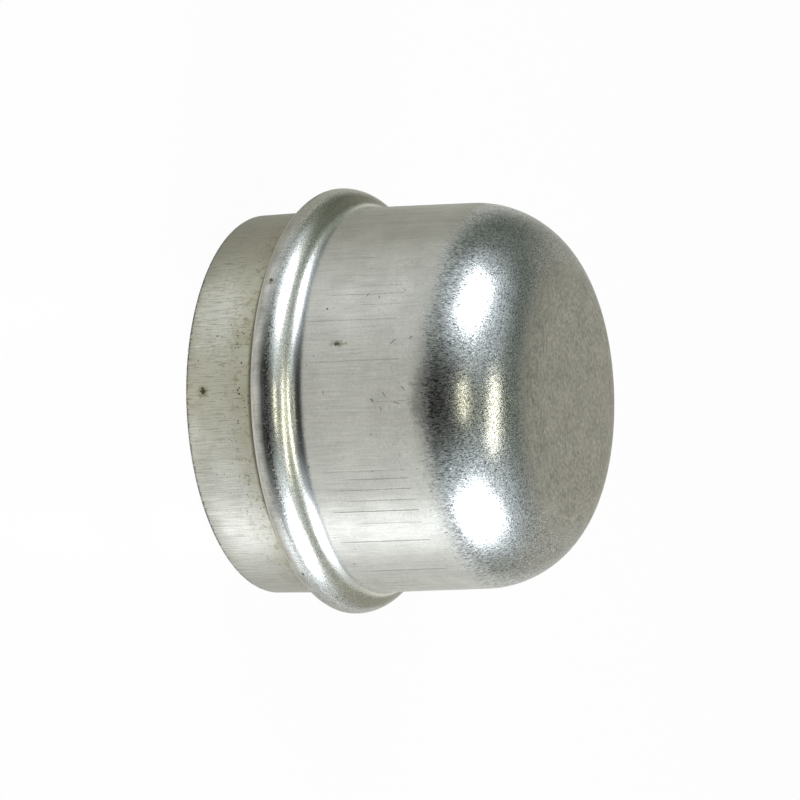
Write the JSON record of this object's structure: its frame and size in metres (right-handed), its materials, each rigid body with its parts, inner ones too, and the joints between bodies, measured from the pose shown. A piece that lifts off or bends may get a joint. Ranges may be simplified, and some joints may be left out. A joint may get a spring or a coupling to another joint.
{
  "type": "wheel hub grease cap",
  "caption": "Domed cup pressed from steel sheet with an open rim, a press-fit skirt and a rolled stop bead; it closes the bearing bore of a wheel hub and keeps its grease in.",
  "frame": {"origin": "centre of the open rim, in the plane that the cap stands on", "axes": "+Z along the hub's axis from the open rim to the closed crown; X and Y are free, because the cap is round"},
  "size_m": [0.056, 0.056, 0.043],
  "materials": {
    "zinc_plated_steel": "clear zinc plate on drawn steel: satin with draw marks along the wall, burnished on the bead and corner, dull on the crown"
  },
  "bodies": {
    "root": {"grease_cap": "zinc_plated_steel"}
  },
  "joints": []
}
